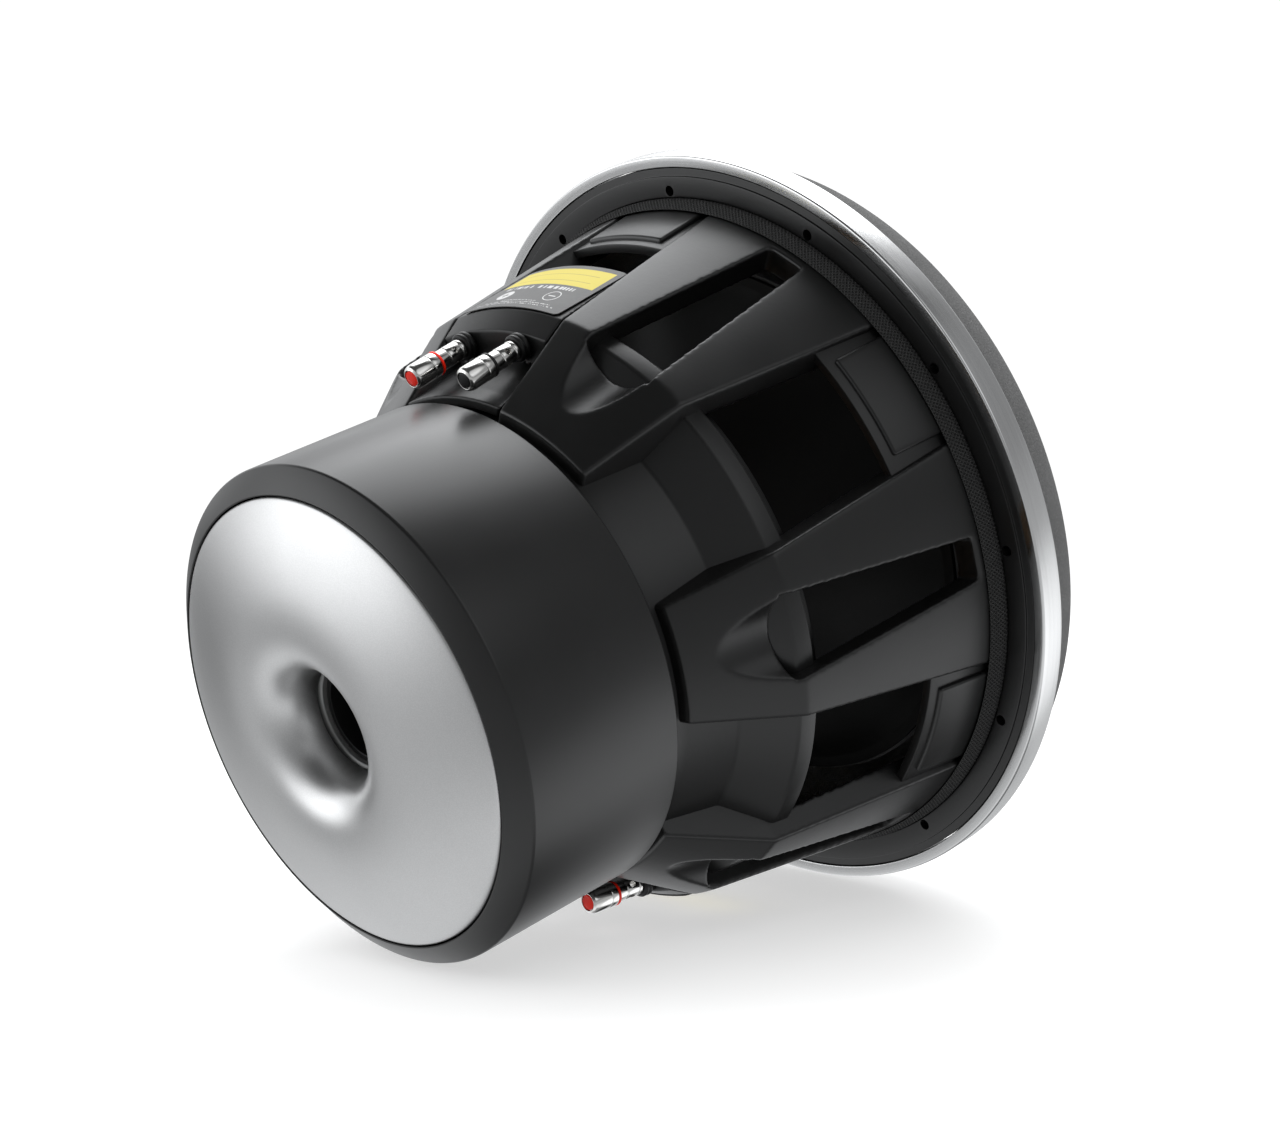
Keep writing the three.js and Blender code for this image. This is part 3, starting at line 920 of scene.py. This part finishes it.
def makeLabel(clock, tag, name):
    label = {
        "section": [(153.6, 67.2), (147.65, 112.8), (148, 112.8), (153.95, 67.2)],
        "half": 13,
        "corner": 3,
    }
    bm = sector(label["section"], label["half"], 24)
    upright = [
        e for e in bm.edges
        if e.calc_length() < 0.6 * mm and len(e.link_faces) == 2 and e.calc_face_angle(0) > 1
    ]
    bmesh.ops.bevel(
        bm, geom=upright, offset=label["corner"] * mm, offset_type="OFFSET", segments=6,
        profile=0.5, affect="EDGES", clamp_overlap=True, material=-1,
    )
    bmesh.ops.rotate(bm, verts=bm.verts, cent=(0, 0, 0), matrix=clockTurn(clock).to_3x3())
    pieceFrom(bm, "label" + name, labelFoil, "frame", ["label_" + tag], 40)


def makePost(side, clock, tag, name, ink):
    place = postFrame(side, clock)
    body, cap = terminal["bodyRadius"], terminal["capRadius"]
    bushing, bushed = terminal["bushingRadius"], terminal["bushingLength"]
    wide = terminal["ringWidth"]

    def put(bm, title, look, owner, nodes):
        bmesh.ops.transform(bm, matrix=place, verts=bm.verts)
        return pieceFrom(bm, title, look, owner, nodes, 35)

    sleeve = turnedOnPost([
        (3.6, 0.3), (bushing, 0.3), (bushing, 1.9), (bushing - 0.5, 2.2), (bushing - 0.5, 2.7),
        (bushing, 3.0), (bushing, bushed - 0.8), (bushing - 0.9, bushed), (3.6, bushed),
    ], True)
    put(sleeve, "bushing" + name, mouldedBlack, "frame", ["bushing_" + tag])

    rod = turnedOnPost([
        (0, -2.4), (3, -2.4), (3, bushed + 0.3), (body, bushed + 0.3), (body, 7.0), (body - 0.35, 7.3),
        (body - 0.35, 7.8), (body, 8.1), (body, 14.6), (body - 0.3, 14.9), (body - 0.3, 15.4), (body, 15.7),
        (body, postLength - 5.5), (0, postLength - 5.5),
    ], False, 48, 0.15, 2)
    rodPiece = loose(rod, "rod")
    drills = []
    for turn in terminal["crossHoleTurns"]:
        drill = drillBit(terminal["crossHole"] * mm, 0.02)
        across = Matrix.Rotation(math.radians(turn), 3, "Z")
        bmesh.ops.rotate(drill, verts=drill.verts, cent=(0, 0, 0), matrix=across)
        bmesh.ops.translate(drill, verts=drill.verts, vec=(0, 0, terminal["crossHoleAlong"] * mm))
        drills.append(loose(drill, "drill"))
    cutWith(rodPiece, drills, "DIFFERENCE")
    data = rodPiece.data
    bpy.data.objects.remove(rodPiece)
    data.transform(place)
    pieceOf(data, "post" + name, nickel, "frame", ["post_" + tag], 35)

    bore = body + 0.3
    shell = turnedOnPost([
        (0, postLength - 1.3), (bore, postLength - 1.3), (bore, capStart + wide), (cap, capStart + wide),
        (cap, capStart + 5), (cap - 0.2, capStart + 5.3), (cap - 0.2, capStart + 5.7), (cap, capStart + 6),
        (cap, postLength - 2.2), (cap - 0.5, postLength - 0.8), (cap - 1.5, postLength), (4.1, postLength),
        (4.0, postLength - 1), (0, postLength - 1),
    ], False, 64, 0.2, 3)
    owner = "push_cap_" + tag
    put(shell, "pushCap" + name, nickel, owner, ["push_cap_" + tag])
    bandEnd = capStart + wide - 0.3
    band = turnedOnPost(
        [(bore, capStart), (cap + 0.1, capStart), (cap + 0.1, bandEnd), (bore, bandEnd)],
        True, 64, 0.25, 3,
    )
    put(band, "capRing" + name, ink, owner, ["cap_ring_" + tag])
    disc = turnedOnPost([
        (0, postLength - 0.7), (3.7, postLength - 0.7), (3.7, postLength - 0.3),
        (3.2, postLength - 0.1), (0, postLength),
    ], False, 48, 0.1, 2)
    put(disc, "capDisc" + name, ink, owner, ["cap_disc_" + tag])


def makeTerminals():
    poles = (("plus", 1, signalRed), ("minus", -1, signalBlack))
    for spot, clock in (("top", 0), ("bottom", 180)):
        makePanel(clock, spot, spot.capitalize())
        makeLabel(clock, spot, spot.capitalize())
        for pole, side, ink in poles:
            name = spot.capitalize() + pole.capitalize()
            makePost(side, clock, f"{spot}_{pole}", name, ink)
            makeLead(side, clock, f"{spot}_{pole}", name)


makeTerminals()
print("terminals made")


def makeScrew(index, clock):
    screw = {"circle": 84, "head": 5, "shank": 2.6, "top": 152, "seat": 156.7, "end": 174, "socket": 2.5}
    bm = bmesh.new()
    outline = [
        (0, screw["end"]), (screw["shank"], screw["end"]), (screw["shank"], screw["seat"]),
        (screw["head"], screw["seat"]), (screw["head"], screw["top"]), (0, screw["top"]),
    ]
    spinRound(bm, wireProfile(bm, outline, False), 36, axis)
    softenEdges(bm, 0.5, 3, 30)
    socket = drillBit(screw["socket"] * mm, 0.005, 6)
    bmesh.ops.translate(socket, verts=socket.verts, vec=(0, screw["top"] * mm, 0))
    made = cutWith(loose(bm, "screw"), [loose(socket, "socket")], "DIFFERENCE")
    data = made.data
    bpy.data.objects.remove(made)
    data.transform(clockTurn(clock) @ Matrix.Translation((0, 0, screw["circle"] * mm)))
    node = f"basket_screw_{index + 1}"
    pieceOf(data, f"basketScrew{index + 1}", steel, "frame", [node], 32)


for armIndex, armClock in enumerate(armClocks):
    makeScrew(armIndex, armClock)
print("screws made")


def addStage():
    rest = {"trim": (188.5, -1.2), "motor": (118.7, 251)}  # the two rims that the driver lies on
    floorSize = {"radius": 1.5, "fadeFrom": 0.7, "fadeTo": 1.3, "gap": 0.0003}
    (r1, y1), (r2, y2) = rest["trim"], rest["motor"]
    slope = math.atan2(r1 - r2, y2 - y1)
    up = Vector((0, -math.sin(slope), math.cos(slope)))
    touch = Vector((0, y1, -r1)) * mm
    look = Look("floorWhite", Specular_IOR_Level=0.1, Emission_Strength=0.56)
    dust = look.noise(look.place(), 40, 3)
    far = look.node("ShaderNodeVectorMath", {"operation": "LENGTH"}, [look.place()], "Value")
    look.link(
        Base_Color=look.mix(dust, grey(0.49), grey(0.51)),
        Roughness=0.6 + dust * 0.1,
        Emission_Color=(1, 1, 1, 1),
        Alpha=1 - far.step(floorSize["fadeFrom"], floorSize["fadeTo"]),
    )
    bm = bmesh.new()
    bmesh.ops.create_circle(bm, cap_ends=True, segments=96, radius=floorSize["radius"])
    turn = Vector((0, 0, 1)).rotation_difference(up).to_matrix()
    bmesh.ops.rotate(bm, verts=bm.verts, cent=(0, 0, 0), matrix=turn)
    bmesh.ops.translate(bm, verts=bm.verts, vec=touch - up * floorSize["gap"])
    floor = pieceFrom(bm, "floor", look, None)
    floor.visible_glossy = False

    white = Look("backdropWhite", Emission_Strength=1.05)
    cloud = white.noise(white.place(), 2, 2)
    white.link(Base_Color=grey(0), Emission_Color=white.mix(cloud, grey(1), grey(0.99)))
    bm = bmesh.new()
    bmesh.ops.create_uvsphere(bm, u_segments=48, v_segments=24, radius=12)
    dome = pieceFrom(bm, "backdrop", white, None)
    dome.visible_diffuse = dome.visible_glossy = dome.visible_shadow = False
    dome.visible_transmission = False
    return up


def addLights(up):
    level = {"right": 0.3, "left": 1.3, "top": 0.06, "far": 0.45, "under": 0.95, "nadir": 0.3}
    boxes = (  # direction, where it starts and is full as a cosine, brightness
        ((0.38, -0.6, 0.7), 0.86, 0.985, 3.3),
        ((-0.79, -0.1, 0.6), 0.86, 0.97, 0.6),
        ((-0.47, -0.65, -0.59), 0.9, 0.98, 0.6),
        ((0.6, 0.7, 0.36), 0.84, 0.98, 1.0),
        ((0.95, 0.2, 0.05), 0.9, 0.98, -0.35),
        ((0.12, -0.65, -0.75), 0.8, 0.97, -0.3),
        ((-0.1, -0.65, 0.75), 0.95, 0.99, 0.4),
    )
    scene = bpy.context.scene
    scene.view_settings.view_transform = "Standard"
    scene.world = bpy.data.worlds.new("studio")
    sky = Look("studio", scene.world)
    way = sky.node("ShaderNodeTexCoord", output="Generated")
    x, y, z = sky.parts(way)
    down = 0 - z
    side = level["right"] + x.step(-0.4, 0.75) * (level["left"] - level["right"])
    above = side + z.step(0.45, 0.8) * (level["top"] - side)
    below = level["far"] + down.step(0.25, 0.65) * (level["under"] - level["far"])
    below = below + down.step(0.76, 0.9) * (level["nadir"] - level["under"])
    lifted = z.step(-0.1, 0.1)
    light = above * lifted + below * (1 - lifted)
    for direction, start, full, brightness in boxes:
        centre = Vector(direction).normalized()
        facing = sky.node("ShaderNodeVectorMath", {"operation": "DOT_PRODUCT"}, [way, centre], "Value")
        light = light + facing.step(start, full) * brightness
    sky.link(Strength=light, Color=(0.97, 0.985, 1, 1))

    def sun(name, direction, strength, angle):
        data = bpy.data.lights.new(name, "SUN")
        data.energy = strength
        data.angle = math.radians(angle)
        lamp = bpy.data.objects.new(name, data)
        lamp.rotation_euler = Vector(direction).to_track_quat("Z", "Y").to_euler()
        lamp.visible_glossy = False
        scene.collection.objects.link(lamp)

    sun("overhead", up, 3.0, 100)


addLights(addStage())
print("stage and lights ready")
